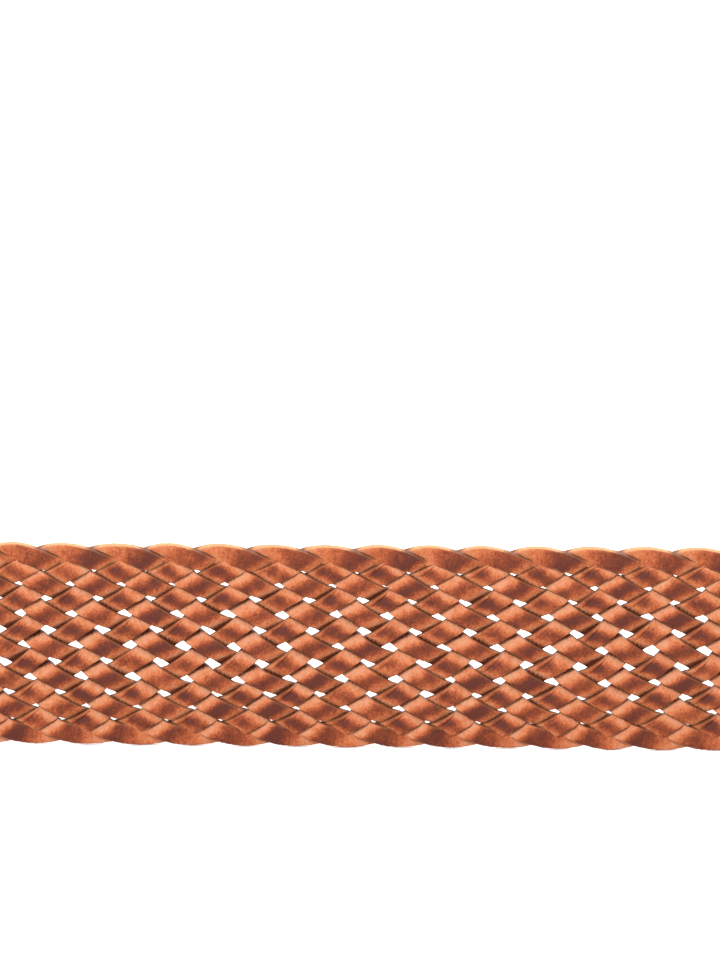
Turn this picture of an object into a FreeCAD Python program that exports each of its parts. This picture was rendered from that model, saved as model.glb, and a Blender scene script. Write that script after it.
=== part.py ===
import FreeCAD, Part
import math
import os
import Sketcher

# Braided leather belt, unbuckled, standing on its lower edge in a horseshoe.
# Millimetres. +X runs along the front of the belt, +Y points into the horseshoe,
# +Z is up across the strap width. The origin is on the lower edge, at mid-front.
# The buckle ends the leg at -X and the leather tip ends the leg at +X.

os.makedirs("parts", exist_ok=True)
doc = FreeCAD.newDocument("braided_belt")
Vector = FreeCAD.Vector

DIMENSIONS = [
    ("strap_width", 40.0),
    ("strand_count", 14),
    ("repeat_length", 10.2),
    ("strand_width", 3.6),
    ("strand_thickness", 1.4),
    ("crossing_gap", 0.12),
    ("crossing_margin", 0.012),
    ("turn_width", 2.65),
    ("turn_half_steps", 0.24),
    ("braid_skew", 0.12),
    ("front_run", 220.0),
    ("corner_radius", 85.0),
    ("buckle_leg", 240.0),
    ("tip_leg", 283.0),
    ("buckle_lift", 5.0),
    ("level_length", 80.0),
    ("braid_start", 22.0),
    ("leather_thickness", 1.4),
    ("bar_radius", 1.6),
    ("bar_chamfer", 0.3),
    ("hinge_gap", 0.05),
    ("chape_length", 62.0),
    ("chape_edge_radius", 0.4),
    ("slot_height", 6.2),
    ("slot_reach", 13.0),
    ("frame_height", 50.0),
    ("frame_reach", 43.0),
    ("frame_heel", 3.6),
    ("frame_side", 4.0),
    ("frame_end", 5.5),
    ("frame_thickness", 4.0),
    ("frame_corner", 9.0),
    ("frame_edge_radius", 1.1),
    ("prong_width", 4.4),
    ("prong_thickness", 2.0),
    ("prong_wall", 1.4),
    ("prong_seat_depth", 0.8),
    ("prong_seat_width", 5.2),
    ("prong_overhang", 1.0),
    ("prong_nose_radius", 2.15),
    ("prong_edge_radius", 0.6),
    ("rest_gap", 0.05),
    ("keeper_width", 12.0),
    ("keeper_wall", 1.6),
    ("keeper_back", 4.0),
    ("keeper_front", 9.6),
    ("keeper_side_gap", 0.4),
    ("keeper_corner", 2.4),
    ("keeper_position", 30.0),
    ("tip_length", 65.0),
    ("tip_overlap", 30.0),
    ("tip_taper", 8.0),
    ("tip_step_start", 33.0),
    ("tip_braid_gap", 0.08),
    ("tip_thickness", 1.3),
    ("tip_corner", 15.0),
    ("thread_radius", 0.3),
    ("stitch_length", 2.6),
    ("stitch_pitch", 3.6),
    ("stitch_inset", 2.6),
    ("stitch_margin", 3.0),
    ("row_margin", 1.0),
    ("thread_gap", 0.01),
    ("keeper_stitch", 5.0),
    ("tool_width", 12.0),
]

sheet = doc.addObject("Spreadsheet::Sheet", "dims")
for row, (name, value) in enumerate(DIMENSIONS, start=1):
    sheet.set("A%d" % row, name)
    sheet.set("B%d" % row, str(value))
    sheet.setAlias("B%d" % row, name)
doc.recompute()


def dim(name):
    return float(getattr(sheet, name))


def bind(obj, **expressions):
    for prop, text in expressions.items():
        obj.setExpression(prop, text)


def place_at_buckle(obj, along="0", out="0", across="0"):
    """Give an object a place in the buckle's own frame: its X runs away from the belt,
    its Y points to the grain side, and its origin is at the middle of the buckle bar."""
    obj.Placement.Rotation = FreeCAD.Rotation(Vector(0, 0, 1), 90)
    obj.setExpression(".Placement.Base.x", "-(dims.front_run / 2 + dims.corner_radius) - (%s)" % out)
    obj.setExpression(".Placement.Base.y", "dims.corner_radius + dims.buckle_leg + (%s)" % along)
    obj.setExpression(".Placement.Base.z", "dims.buckle_lift + dims.strap_width / 2 + (%s)" % across)


def part_object(kind, name, **expressions):
    obj = doc.addObject(kind, name)
    bind(obj, **expressions)
    return obj


def cut(name, base, tool):
    obj = doc.addObject("Part::Cut", name)
    obj.Base = base
    obj.Tool = tool
    return obj


def fuse(name, shapes):
    obj = doc.addObject("Part::MultiFuse", name)
    obj.Shapes = shapes
    return obj


def rounded(name, base, radius, wanted):
    """Round the edges of base that the test picks."""
    doc.recompute()
    obj = doc.addObject("Part::Fillet", name)
    obj.Base = base
    picked = [number for number, edge in enumerate(base.Shape.Edges, start=1) if wanted(edge)]
    obj.Edges = [(number, radius, radius) for number in picked]
    return obj


def origin_plane(body, role):
    return next(item for item in body.Origin.OriginFeatures if item.Role == role)


def sketch_in(body, role, name):
    sketch = body.newObject("Sketcher::SketchObject", name)
    sketch.AttachmentSupport = [(origin_plane(body, role), "")]
    sketch.MapMode = "FlatFace"
    return sketch


def sketch_rectangle(sketch, left, right, low, high):
    """A rectangle whose four sides stand at the given expressions."""
    corners = [Vector(0, 0, 0), Vector(1, 0, 0), Vector(1, 1, 0), Vector(0, 1, 0)]
    for i in range(4):
        sketch.addGeometry(Part.LineSegment(corners[i], corners[(i + 1) % 4]), False)
    for i in range(4):
        sketch.addConstraint(Sketcher.Constraint("Coincident", i, 2, (i + 1) % 4, 1))
    for i in (0, 2):
        sketch.addConstraint(Sketcher.Constraint("Horizontal", i))
    for i in (1, 3):
        sketch.addConstraint(Sketcher.Constraint("Vertical", i))
    rules = [
        ("left", "DistanceX", 0, 1, left),
        ("right", "DistanceX", 1, 2, right),
        ("low", "DistanceY", 0, 1, low),
        ("high", "DistanceY", 2, 2, high),
    ]
    for name, kind, line, end, text in rules:
        sketch.addConstraint(Sketcher.Constraint(kind, -1, 1, line, end, 0.5))
        number = sketch.ConstraintCount - 1
        sketch.renameConstraint(number, name)
        sketch.setExpression("Constraints." + name, text)


# ---------------------------------------------------------------- strap path

def buckle_lift_at(s):
    """The strap leaves the ground towards the buckle, whose frame is taller than the strap."""
    span = dim("buckle_leg") - dim("level_length")
    t = min(max((dim("buckle_leg") - s) / span, 0.0), 1.0)
    return dim("buckle_lift") * t * t * (3.0 - 2.0 * t)


def strap_point(s, height, out):
    """World point at path length s from the buckle bar, at a height above the lower edge
    and a distance out from the strap's middle surface towards the grain side."""
    radius = dim("corner_radius")
    half_front = dim("front_run") / 2.0
    quarter = math.pi * radius / 2.0
    z = height + buckle_lift_at(s)
    s = s - dim("buckle_leg")
    if s < 0:
        return Vector(-(half_front + radius + out), radius - s, z)
    if s < quarter:
        turn = s / radius
        x = half_front + (radius + out) * math.cos(turn)
        return Vector(-x, radius - (radius + out) * math.sin(turn), z)
    s = s - quarter
    if s < 2.0 * half_front:
        return Vector(s - half_front, -out, z)
    s = s - 2.0 * half_front
    if s < quarter:
        turn = s / radius
        x = half_front + (radius + out) * math.sin(turn)
        return Vector(x, radius - (radius + out) * math.cos(turn), z)
    s = s - quarter
    return Vector(half_front + radius + out, radius + s, z)


def path_length():
    return (dim("buckle_leg") + math.pi * dim("corner_radius")
            + dim("front_run") + dim("tip_leg"))


# ------------------------------------------------------------------- strands
# A flat braid: each strand runs down across the strap, turns at the lower edge, runs up,
# turns at the upper edge, and goes over one strand and under the next all the way.
# A strand's step v counts rows of crossings: 0 at the top turn, strand_count at the
# bottom turn, twice that at the next top turn. The whole braid leans along the strap by
# braid_skew for each millimetre down, so one way of the plait is flatter than the other.

def crossing_stations(v, down):
    """The two cross-sections that bound one crossing. Their edges run parallel to the
    strand that is crossed. Each is (lower edge, upper edge, out) in steps."""
    count = int(dim("strand_count"))
    half_step = dim("repeat_length") / 2.0
    row_height = dim("strap_width") / count
    pitch = dim("repeat_length") * math.sin(math.atan2(row_height, half_step))
    half_width = dim("strand_width") / 2.0 / pitch
    reach = half_width + dim("crossing_margin")
    row = v if down else 2 * count - v
    on_top = (row % 2 == 1) == down
    out = (dim("strand_thickness") + dim("crossing_gap")) / 2.0
    out = out if on_top else -out
    stations = []
    for shift in (-reach, reach):
        if down:
            along = v + shift
            lower = (along - half_width, along + half_width)
            upper = (along + half_width, along - half_width)
        else:
            along = v - count + shift
            lower = (along + count + half_width, count + half_width - along)
            upper = (along + count - half_width, count - half_width - along)
        stations.append((lower, upper, out))
    return stations


def turn_stations(v, at_bottom):
    """Two upright cross-sections, so that a strand's edge lies flat along the strap's edge.
    The strand is bunched a little narrower there, clear of its neighbours, and passes from
    one side of the strap to the other."""
    count = int(dim("strand_count"))
    inner = dim("turn_width") / (dim("strap_width") / count)
    out = (dim("strand_thickness") + dim("crossing_gap")) / 4.0
    stations = []
    for side in (-1.0, 1.0):
        along = v + side * dim("turn_half_steps")
        if at_bottom:
            stations.append(((along, count), (along, count - inner), -side * out))
        else:
            stations.append(((along, inner), (along, 0.0), side * out))
    return stations


def strand_stations(number):
    """All cross-sections of one strand along the strap, as (s, height, out) corner data."""
    count = int(dim("strand_count"))
    half_step = dim("repeat_length") / 2.0
    row_height = dim("strap_width") / count
    start = dim("braid_start")
    end = path_length() - dim("tip_length") + dim("tip_overlap")
    middle = path_length() - dim("tip_leg") - math.pi * dim("corner_radius") / 2.0
    middle = middle - dim("front_run") / 2.0
    skew = dim("braid_skew")
    half_strap = dim("strap_width") / 2.0
    phase = math.fmod(middle - skew * half_strap, dim("repeat_length"))
    found = []
    cycles = int(path_length() / (2 * count * half_step)) + 2
    for cycle in range(-2, cycles):
        first = 2 * count * cycle + 2 * number
        for v in range(0, 2 * count):
            if v in (0, count):
                group = turn_stations(v, v == count)
            else:
                group = crossing_stations(v, v < count)
            for lower, upper, out in group:
                ends = []
                for along, row in (lower, upper):
                    height = (count - row) * row_height
                    s = (first + along) * half_step + phase + skew * (half_strap - height)
                    ends.append((s, height))
                low, high = ends
                if min(low[0], high[0]) >= start and max(low[0], high[0]) <= end:
                    found.append((low, high, out))
    return found


def flat_faces(a, b, c, d):
    """One face when the four corners are in a plane, else two triangles."""
    normal = (b - a).cross(d - a)
    if abs(normal.dot(c - a)) < 1e-6 * max(normal.Length, 1e-9):
        return [Part.Face(Part.makePolygon([a, b, c, d, a]))]
    if (a - c).Length < (b - d).Length:
        loops = [[a, b, c, a], [a, c, d, a]]
    else:
        loops = [[a, b, d, a], [b, c, d, b]]
    return [Part.Face(Part.makePolygon(loop)) for loop in loops]


def strand_shape(number):
    half = dim("strand_thickness") / 2.0
    rings = []
    for low, high, out in strand_stations(number):
        rings.append([
            strap_point(low[0], low[1], out + half),
            strap_point(high[0], high[1], out + half),
            strap_point(high[0], high[1], out - half),
            strap_point(low[0], low[1], out - half),
        ])
    faces = flat_faces(*rings[0]) + flat_faces(*reversed(rings[-1]))
    for first, second in zip(rings, rings[1:]):
        for i in range(4):
            j = (i + 1) % 4
            faces = faces + flat_faces(first[i], second[i], second[j], first[j])
    solid = Part.makeSolid(Part.makeShell(faces))
    if solid.Volume < 0:
        solid.reverse()
    return solid.removeSplitter()


def make_strands():
    strands = []
    for number in range(int(dim("strand_count"))):
        name = "strand_%02d" % (number + 1)
        strand = doc.addObject("Part::Feature", name)
        strand.Shape = strand_shape(number)
        strand.Label = name
        strands.append(strand)
    return strands


# -------------------------------------------------------------------- buckle

def make_buckle_frame():
    """An open-heeled frame: two side bars and a front bar, with holes for the bar and a
    shallow seat where the prong rests."""
    body = doc.addObject("PartDesign::Body", "buckle_frame")
    outline = sketch_in(body, "XZ_Plane", "frame_outline")
    sketch_rectangle(outline, "-dims.frame_heel", "dims.frame_reach",
                     "-dims.frame_height / 2", "dims.frame_height / 2")
    plate = body.newObject("PartDesign::Pad", "frame_plate")
    plate.Profile = outline
    plate.Midplane = True
    plate.setExpression("Length", "dims.frame_thickness")
    doc.recompute()

    window_sketch = sketch_in(body, "XZ_Plane", "frame_window_outline")
    sketch_rectangle(window_sketch, "-dims.frame_heel - 1", "dims.frame_reach - dims.frame_end",
                     "-dims.frame_height / 2 + dims.frame_side",
                     "dims.frame_height / 2 - dims.frame_side")
    window = body.newObject("PartDesign::Pocket", "frame_window")
    window.Profile = window_sketch
    window.Type = "ThroughAll"
    window.Midplane = True
    doc.recompute()

    def outer_corner(edge):
        middle = edge.CenterOfMass
        upright = abs(edge.tangentAt(edge.FirstParameter).y) > 0.9
        return upright and middle.x > dim("frame_reach") - 0.1

    def inner_corner(edge):
        middle = edge.CenterOfMass
        upright = abs(edge.tangentAt(edge.FirstParameter).y) > 0.9
        at_end = abs(middle.x - dim("frame_reach") + dim("frame_end")) < 0.1
        return upright and at_end

    body_fillet(body, "frame_outer_corners", outer_corner, "dims.frame_corner")
    body_fillet(body, "frame_inner_corners", inner_corner, "dims.frame_corner - dims.frame_side")
    body_fillet(body, "frame_edges", flat_rim, "dims.frame_edge_radius")

    hole_sketch = sketch_in(body, "XY_Plane", "bar_hole_outline")
    sketch_circle(hole_sketch, "dims.bar_radius")
    holes = body.newObject("PartDesign::Pocket", "bar_holes")
    holes.Profile = hole_sketch
    holes.Type = "ThroughAll"
    holes.Midplane = True
    doc.recompute()

    seat_sketch = sketch_in(body, "XZ_Plane", "prong_seat_outline")
    sketch_rectangle(seat_sketch, "dims.frame_reach - dims.frame_end - 1", "dims.frame_reach + 1",
                     "-dims.prong_seat_width / 2", "dims.prong_seat_width / 2")
    seat_sketch.setExpression(".AttachmentOffset.Base.z",
                              "-(dims.frame_thickness / 2 - dims.prong_seat_depth)")
    seat = body.newObject("PartDesign::Pocket", "prong_seat")
    seat.Profile = seat_sketch
    seat.Type = "Length"
    seat.setExpression("Length", "dims.frame_thickness")
    seat.Reversed = grain_side_needs_reversing(body, seat)
    place_at_buckle(body)
    body.Label = "buckle_frame"
    return body


def grain_side_needs_reversing(body, seat):
    """Cut the seat into the grain side (+Y of the frame): the other way removes far more."""
    volumes = []
    for reversed_way in (False, True):
        seat.Reversed = reversed_way
        doc.recompute()
        volumes.append(body.Shape.Volume)
    return volumes[1] > volumes[0]


def flat_rim(edge):
    """Edges around the frame's two faces, away from the open heel."""
    box = edge.BoundBox
    half = dim("frame_thickness") / 2.0
    on_face = abs(abs(box.YMin) - half) < 1e-4 and abs(box.YMax - box.YMin) < 1e-4
    at_heel = box.XMax < -dim("frame_heel") + 0.1
    return on_face and not at_heel


def sketch_circle(sketch, radius):
    sketch.addGeometry(Part.Circle(Vector(0, 0, 0), Vector(0, 0, 1), 1.0), False)
    sketch.addConstraint(Sketcher.Constraint("Coincident", 0, 3, -1, 1))
    sketch.addConstraint(Sketcher.Constraint("Radius", 0, 1.0))
    sketch.renameConstraint(1, "radius")
    sketch.setExpression("Constraints.radius", radius)


def body_fillet(body, name, wanted, radius):
    doc.recompute()
    base = body.Tip
    numbers = [i for i, edge in enumerate(base.Shape.Edges, start=1) if wanted(edge)]
    fillet = body.newObject("PartDesign::Fillet", name)
    fillet.Base = (base, ["Edge%d" % number for number in numbers])
    fillet.setExpression("Radius", radius)
    body.Tip = fillet
    doc.recompute()


def make_buckle_bar():
    """The round steel bar that the leather folds around, pressed into the frame."""
    bar = part_object("Part::Cylinder", "bar_pin", Radius="dims.bar_radius",
                      Height="dims.frame_height - 2 * dims.bar_chamfer")
    bar.setExpression(".Placement.Base.z", "-dims.frame_height / 2 + dims.bar_chamfer")
    doc.recompute()
    chamfered = doc.addObject("Part::Chamfer", "buckle_bar")
    chamfered.Base = bar
    rims = [i for i, edge in enumerate(bar.Shape.Edges, start=1) if edge.Closed and
            edge.BoundBox.ZLength < 1e-6]
    chamfer = dim("bar_chamfer")
    chamfered.Edges = [(number, chamfer, chamfer) for number in rims]
    place_at_buckle(chamfered)
    chamfered.Label = "buckle_bar"
    return chamfered


def make_prong():
    """A flat prong with an eye that turns on the bar and a nose that lies in the seat."""
    inner = "dims.frame_thickness / 2 - dims.prong_seat_depth + dims.rest_gap"
    eye = part_object("Part::Cylinder", "prong_eye",
                      Radius="dims.bar_radius + dims.hinge_gap + dims.prong_wall",
                      Height="dims.prong_width")
    eye.setExpression(".Placement.Base.z", "-dims.prong_width / 2")
    shank = part_object("Part::Box", "prong_shank",
                        Length="dims.frame_reach + dims.prong_overhang",
                        Width="dims.prong_thickness", Height="dims.prong_width")
    shank.setExpression(".Placement.Base.y", inner)
    shank.setExpression(".Placement.Base.z", "-dims.prong_width / 2")

    def nose(edge):
        box = edge.BoundBox
        end = dim("frame_reach") + dim("prong_overhang")
        return box.XMin > end - 1e-3 and box.ZLength < 1e-6

    nosed = rounded("prong_nose", shank, dim("prong_nose_radius"), nose)

    def long_edge(edge):
        box = edge.BoundBox
        outer_face = dim("frame_thickness") / 2.0 - dim("prong_seat_depth")
        outer_face = outer_face + dim("rest_gap") + dim("prong_thickness")
        return abs(box.YMin - outer_face) < 1e-3 and box.XMax > 1.0

    softened = rounded("prong_softened", nosed, dim("prong_edge_radius"), long_edge)
    whole = fuse("prong_whole", [eye, softened])
    bore = part_object("Part::Cylinder", "prong_bore",
                       Radius="dims.bar_radius + dims.hinge_gap",
                       Height="dims.prong_width + 4")
    bore.setExpression(".Placement.Base.z", "-dims.prong_width / 2 - 2")
    prong = cut("buckle_prong", whole, bore)
    place_at_buckle(prong)
    prong.Label = "buckle_prong"
    return prong


# --------------------------------------------------------------------- chape

def make_chape():
    """The leather tab folded round the bar, with both tails over the end of the braid."""
    inner = "dims.bar_radius + dims.hinge_gap"
    outer = inner + " + dims.leather_thickness"
    fold = part_object("Part::Cylinder", "chape_fold", Radius=outer, Height="dims.strap_width")
    slab = part_object("Part::Box", "chape_slab", Length="dims.chape_length",
                       Width="2 * (%s)" % outer, Height="dims.strap_width")
    slab.setExpression(".Placement.Base.x", "-dims.chape_length")
    slab.setExpression(".Placement.Base.y", "-(%s)" % outer)
    for piece in (fold, slab):
        piece.setExpression(".Placement.Base.z", "-dims.strap_width / 2")
    folded = fuse("chape_folded", [fold, slab])
    folded.Refine = True
    tunnel = part_object("Part::Cylinder", "chape_tunnel", Radius=inner,
                         Height="dims.strap_width + 2")
    gap = part_object("Part::Box", "chape_gap", Length="dims.chape_length + 1",
                      Width="2 * (%s)" % inner, Height="dims.strap_width + 2")
    gap.setExpression(".Placement.Base.x", "-dims.chape_length - 1")
    gap.setExpression(".Placement.Base.y", "-(%s)" % inner)
    for piece in (tunnel, gap):
        piece.setExpression(".Placement.Base.z", "-dims.strap_width / 2 - 1")
    opened = cut("chape_opened", folded, fuse("chape_inside", [tunnel, gap]))
    doc.recompute()

    def outer_rim(edge):
        box = edge.BoundBox
        half = dim("strap_width") / 2.0
        reach = dim("bar_radius") + dim("hinge_gap") + dim("leather_thickness")
        level = box.ZLength < 1e-6 and abs(abs(box.ZMin) - half) < 1e-4
        straight = box.YLength < 1e-6 and abs(abs(box.YMin) - reach) < 1e-4
        curved = box.XMin > -1e-3 and abs(box.YMax - reach) < 1e-3
        return level and (straight or curved)

    soft = rounded("chape_soft", opened, dim("chape_edge_radius"), outer_rim)
    slot_box = part_object("Part::Box", "slot_straight",
                           Length="dims.slot_reach + dims.tool_width / 2",
                           Width="dims.tool_width", Height="dims.slot_height")
    slot_box.setExpression(".Placement.Base.x", "-dims.slot_reach + dims.slot_height / 2")
    slot_box.setExpression(".Placement.Base.y", "-dims.tool_width / 2")
    slot_box.setExpression(".Placement.Base.z", "-dims.slot_height / 2")
    slot_end = part_object("Part::Cylinder", "slot_round", Radius="dims.slot_height / 2",
                           Height="dims.tool_width")
    slot_end.Placement.Rotation = FreeCAD.Rotation(Vector(1, 0, 0), 90)
    slot_end.setExpression(".Placement.Base.x", "-dims.slot_reach + dims.slot_height / 2")
    slot_end.setExpression(".Placement.Base.y", "dims.tool_width / 2")
    chape = cut("chape", soft, fuse("chape_slot", [slot_box, slot_end]))
    place_at_buckle(chape)
    chape.Label = "chape"
    return chape


# -------------------------------------------------------------------- keeper

def make_keeper():
    """A leather loop that slides along the chape and holds the tip when the belt is worn."""
    body = doc.addObject("PartDesign::Body", "keeper")
    half = "dims.strap_width / 2 + dims.keeper_side_gap"
    outline = sketch_in(body, "YZ_Plane", "keeper_outline")
    sketch_rectangle(outline, "-dims.keeper_back - dims.keeper_wall",
                     "dims.keeper_front + dims.keeper_wall",
                     "-(%s) - dims.keeper_wall" % half, "%s + dims.keeper_wall" % half)
    block = body.newObject("PartDesign::Pad", "keeper_block")
    block.Profile = outline
    block.Midplane = True
    block.setExpression("Length", "dims.keeper_width")
    doc.recompute()
    inside = sketch_in(body, "YZ_Plane", "keeper_inside")
    sketch_rectangle(inside, "-dims.keeper_back", "dims.keeper_front", "-(%s)" % half, half)
    hollow = body.newObject("PartDesign::Pocket", "keeper_hollow")
    hollow.Profile = inside
    hollow.Type = "ThroughAll"
    hollow.Midplane = True
    doc.recompute()
    back = dim("keeper_back") + dim("keeper_wall")
    front = dim("keeper_front") + dim("keeper_wall")

    def outer_corner(edge):
        box = edge.BoundBox
        lengthwise = box.YLength < 1e-6 and box.ZLength < 1e-6
        return lengthwise and (abs(box.YMin + back) < 1e-4 or abs(box.YMin - front) < 1e-4)

    def inner_corner(edge):
        box = edge.BoundBox
        lengthwise = box.YLength < 1e-6 and box.ZLength < 1e-6
        inner = abs(box.YMin + dim("keeper_back")) < 1e-4 or abs(box.YMin - dim("keeper_front")) < 1e-4
        return lengthwise and inner

    body_fillet(body, "keeper_outer_corners", outer_corner, "dims.keeper_corner")
    body_fillet(body, "keeper_inner_corners", inner_corner, "dims.keeper_corner - dims.keeper_wall")

    def outer_rim(edge):
        box = edge.BoundBox
        near_corner = dim("keeper_corner") + 0.01
        wide = box.YMin < -back + near_corner or box.YMax > front - near_corner
        at_side = box.XLength < 1e-6
        touches = abs(box.YMin + back) < 1e-3 or abs(box.YMax - front) < 1e-3
        reach = dim("strap_width") / 2 + dim("keeper_side_gap") + dim("keeper_wall")
        end = abs(abs(box.ZMin) - reach) < 1e-3 or abs(abs(box.ZMax) - reach) < 1e-3
        return at_side and wide and (touches or end)

    body_fillet(body, "keeper_edges", outer_rim, "dims.chape_edge_radius")
    place_at_buckle(body, along="-dims.keeper_position")
    body.Label = "keeper"
    return body


# ----------------------------------------------------------------------- tip

def off_the_braid():
    """How far a tip layer's inner face lies from the middle of the strap over the braid."""
    return dim("strand_thickness") + dim("crossing_gap") / 2.0 + dim("tip_braid_gap")


def tip_profile(side):
    """Outline of one tip layer seen from above. It lies off the braid over the overlap, then
    steps in to meet the other layer. x = 0 is the very end of the belt."""
    length = dim("tip_length")
    bend = dim("tip_step_start")
    settled = bend - dim("tip_taper")
    away = off_the_braid()
    thick = dim("tip_thickness")
    points = [
        (-length, away), (-bend, away), (-settled, 0.0), (0.0, 0.0),
        (0.0, thick), (-settled, thick), (-bend, away + thick), (-length, away + thick),
    ]
    return [Vector(x, side * y, 0) for x, y in points]


def make_tip_layer(name, side):
    blank = doc.addObject("Part::Feature", name + "_blank")
    corners = tip_profile(side)
    face = Part.Face(Part.makePolygon(corners + [corners[0]]))
    height = dim("strap_width")
    blank.Shape = face.extrude(Vector(0, 0, height))
    outline = part_object("Part::Box", name + "_outline", Length="dims.tip_length",
                          Width="dims.tool_width", Height="dims.strap_width")
    outline.setExpression(".Placement.Base.x", "-dims.tip_length")
    outline.setExpression(".Placement.Base.y", "-dims.tool_width / 2")

    def nose(edge):
        box = edge.BoundBox
        return box.XMin > -1e-3 and box.ZLength < 1e-6

    shape = rounded(name + "_nose", outline, dim("tip_corner"), nose)
    layer = doc.addObject("Part::MultiCommon", name)
    layer.Shapes = [blank, shape]
    layer.Refine = True
    layer.Placement.Rotation = FreeCAD.Rotation(Vector(0, 0, 1), 90)
    layer.setExpression(".Placement.Base.x", "dims.front_run / 2 + dims.corner_radius")
    layer.setExpression(".Placement.Base.y", "dims.corner_radius + dims.tip_leg")
    layer.Label = name
    return layer


# ------------------------------------------------------------------- threads

def stitch(start, end):
    """One visible length of thread from start to end."""
    way = end - start
    return Part.makeCylinder(dim("thread_radius"), way.Length, start, way)


def stitch_line(start, end):
    """Equal stitches along a line, with a gap between one and the next."""
    way = end - start
    count = max(int(way.Length / dim("stitch_pitch")), 1)
    step = way * (1.0 / count)
    half_gap = step * ((1.0 - dim("stitch_length") * count / way.Length) / 2.0)
    return [stitch(start + step * i + half_gap, start + step * (i + 1) - half_gap)
            for i in range(count)]


def thread_rise():
    """Height of a thread's middle above the leather that it lies on."""
    return dim("thread_radius") + dim("thread_gap")


def make_chape_stitches():
    """Rows along both edges and across the tail, on both faces of the chape."""
    half = dim("strap_width") / 2.0 - dim("stitch_inset")
    near = -dim("slot_reach") - dim("stitch_margin")
    far = -dim("chape_length") + dim("stitch_inset")
    face = dim("bar_radius") + dim("hinge_gap") + dim("leather_thickness")
    end = half - dim("row_margin")
    lines = []
    for side in (-1.0, 1.0):
        y = side * (face + thread_rise())
        for z in (-half, half):
            lines = lines + stitch_line(Vector(near, y, z), Vector(far, y, z))
        for x in (far, near):
            lines = lines + stitch_line(Vector(x, y, -end), Vector(x, y, end))
    threads = doc.addObject("Part::Feature", "chape_stitches")
    threads.Shape = Part.makeCompound(lines)
    place_at_buckle(threads)
    threads.Label = "chape_stitches"
    return threads


def make_tip_stitches():
    """Rows along both edges and across the mouth of the tip, on both faces."""
    inset = dim("stitch_inset")
    height = dim("strap_width")
    mouth = -dim("tip_length") + inset
    bend = dim("tip_step_start")
    settled = -(bend - dim("tip_taper"))
    corner = dim("tip_corner")
    end = inset + dim("row_margin")
    lines = []
    for side in (-1.0, 1.0):
        y = side * (off_the_braid() + dim("tip_thickness") + thread_rise())
        for z in (inset, height - inset):
            lines = lines + stitch_line(Vector(mouth, y, z), Vector(-bend, y, z))
        lines = lines + stitch_line(Vector(mouth, y, end), Vector(mouth, y, height - end))
        y = side * (dim("tip_thickness") + thread_rise())
        for z in (inset, height - inset):
            lines = lines + stitch_line(Vector(settled, y, z), Vector(-corner, y, z))
        lines = lines + nose_stitches(y)
    threads = doc.addObject("Part::Feature", "tip_stitches")
    threads.Shape = Part.makeCompound(lines)
    threads.Placement.Rotation = FreeCAD.Rotation(Vector(0, 0, 1), 90)
    threads.setExpression(".Placement.Base.x", "dims.front_run / 2 + dims.corner_radius")
    threads.setExpression(".Placement.Base.y", "dims.corner_radius + dims.tip_leg")
    threads.Label = "tip_stitches"
    return threads


def nose_stitches(y):
    """Stitches that follow the rounded nose of the tip."""
    corner = dim("tip_corner")
    inset = dim("stitch_inset")
    height = dim("strap_width")
    radius = corner - inset
    count = max(int(radius * math.pi / 2.0 / dim("stitch_pitch")), 1)
    step = math.pi / 2.0 / count
    half_gap = step * (1.0 - dim("stitch_length") / dim("stitch_pitch")) / 2.0
    lines = []
    for centre_z, first in ((corner, -math.pi / 2.0), (height - corner, 0.0)):
        for i in range(count):
            ends = []
            for angle in (first + step * i + half_gap, first + step * (i + 1) - half_gap):
                x = -corner + radius * math.cos(angle)
                ends.append(Vector(x, y, centre_z + radius * math.sin(angle)))
            lines.append(stitch(ends[0], ends[1]))
    x = -inset
    return lines + stitch_line(Vector(x, y, corner), Vector(x, y, height - corner))


def make_keeper_stitches():
    """Two short stitches that close the keeper's seam on its flesh side."""
    y = -(dim("keeper_back") + dim("keeper_wall") + thread_rise())
    half = dim("keeper_stitch") / 2.0
    lines = []
    for x in (-dim("keeper_width") / 4.0, dim("keeper_width") / 4.0):
        lines = lines + [stitch(Vector(x, y, -half), Vector(x, y, half))]
    threads = doc.addObject("Part::Feature", "keeper_stitches")
    threads.Shape = Part.makeCompound(lines)
    place_at_buckle(threads, along="-dims.keeper_position")
    threads.Label = "keeper_stitches"
    return threads


# --------------------------------------------------------------------- build

nodes = make_strands()
nodes = nodes + [make_chape(), make_keeper(), make_buckle_frame(), make_buckle_bar(), make_prong()]
nodes = nodes + [make_tip_layer("tip_grain_layer", -1.0), make_tip_layer("tip_flesh_layer", 1.0)]
nodes = nodes + [make_chape_stitches(), make_tip_stitches(), make_keeper_stitches()]
doc.recompute()

for item in doc.Objects:
    bad = [word for word in ("Invalid", "Error") if word in item.State]
    if bad:
        raise RuntimeError("%s is %s" % (item.Name, bad))

for node in nodes:
    if node.Shape.isNull() or not node.Shape.isValid():
        raise RuntimeError("%s has no valid shape" % node.Label)
    node.Shape.exportStep("parts/%s.step" % node.Label)
    box = node.Shape.BoundBox
    print("%-18s solids %3d faces %5d volume %9.1f  x %.1f %.1f  y %.1f %.1f  z %.2f %.2f" % (
        node.Label, len(node.Shape.Solids), len(node.Shape.Faces), node.Shape.Volume,
        box.XMin, box.XMax, box.YMin, box.YMax, box.ZMin, box.ZMax))
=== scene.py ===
import math
import random

import bmesh
import bpy
from mathutils import Matrix, Vector, noise


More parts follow.
